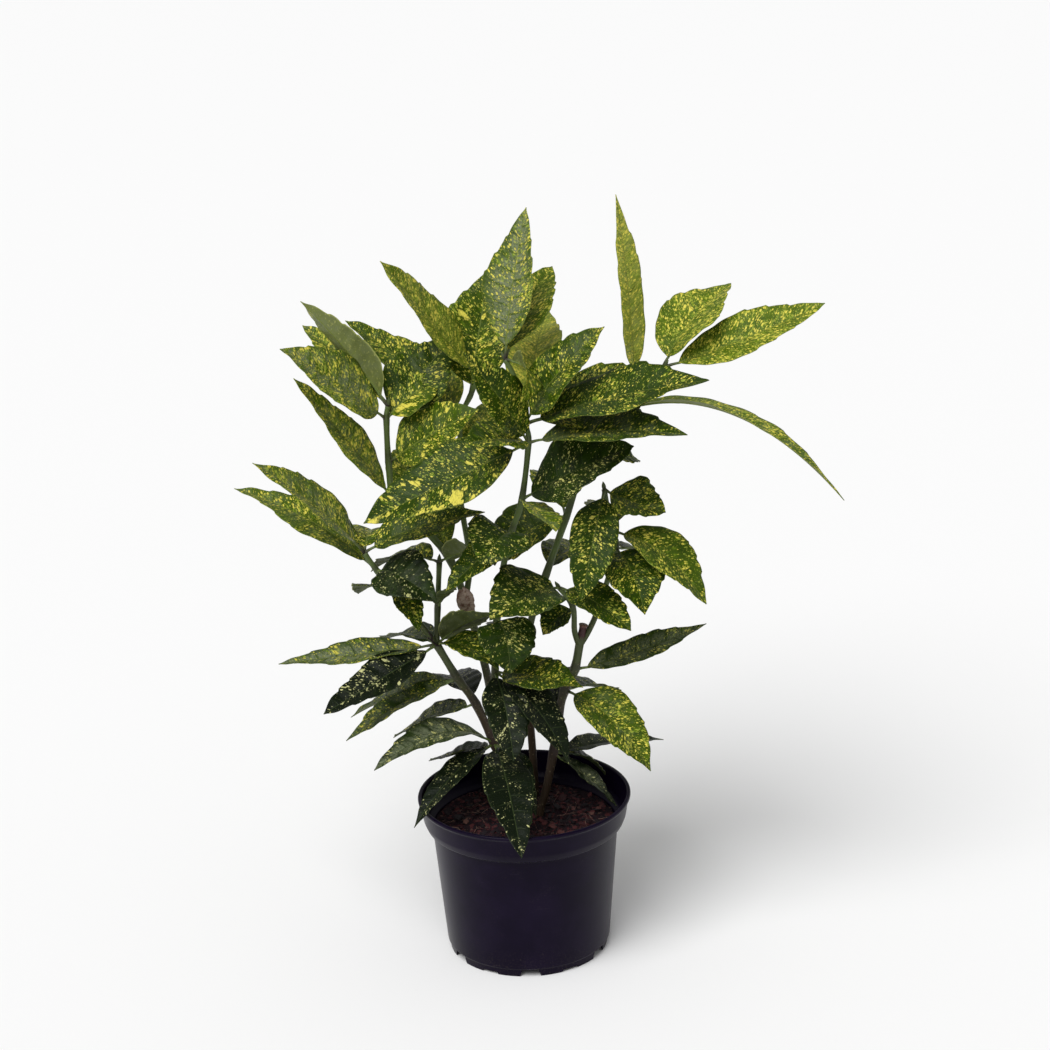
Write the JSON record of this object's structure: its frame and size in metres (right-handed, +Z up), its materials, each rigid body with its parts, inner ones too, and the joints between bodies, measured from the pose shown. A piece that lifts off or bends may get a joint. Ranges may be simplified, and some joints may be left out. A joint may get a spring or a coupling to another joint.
{
  "type": "potted shrub",
  "caption": "Speckled broad-leaved evergreen shrub, with leafy stems rising from soil in a tapered round nursery pot.",
  "frame": {"origin": "on the pot's axis, on the flat underside of its floor panel, at the level of the surface the pot stands on", "axes": "+Z up along the pot's axis, the plant's long way; -Y faces the viewer of the picture; +X is the viewer's right"},
  "size_m": [0.5199, 0.2708, 0.6862],
  "materials": {
    "pot_plastic": "satin moulded plastic, near black",
    "soil": "rough bark and peat mix",
    "leaf_green": "waxy leaf, green with yellow specks"
  },
  "bodies": {
    "root": {"pot": "pot_plastic", "soil": "soil", "leafy_stem_left": "leaf_green", "leafy_stem_centre": "leaf_green", "leafy_stem_tall": "leaf_green", "leafy_stem_right": "leaf_green"}
  },
  "joints": []
}
